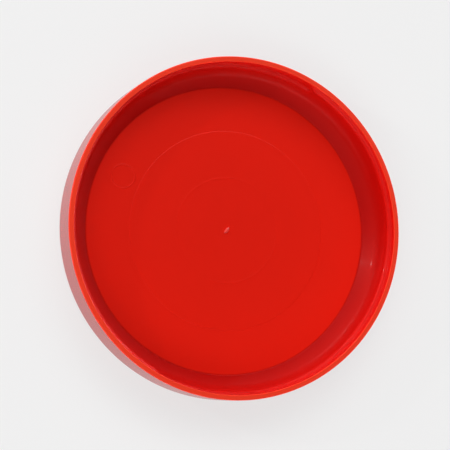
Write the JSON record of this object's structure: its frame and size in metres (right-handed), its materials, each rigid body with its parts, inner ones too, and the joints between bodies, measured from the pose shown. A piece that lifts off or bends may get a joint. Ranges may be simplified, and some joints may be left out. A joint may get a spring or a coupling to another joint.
{
  "type": "screw-on jar lid",
  "caption": "Shallow round screw-on lid with a smooth skirt, internal ridges for a coarse thread, a sealing cone and a flat panel.",
  "frame": {"origin": "centre of the closed face, on the surface that the lid lies on", "axes": "+Z along the lid's axis from the closed face to the open rim; +X and +Y fixed by the thread's beginning, 63 degrees from +X towards +Y"},
  "size_m": [0.115, 0.115, 0.0156],
  "materials": {
    "red_plastic": "glossy moulded polypropylene, red right through"
  },
  "bodies": {
    "root": {"lid": "red_plastic"}
  },
  "joints": []
}
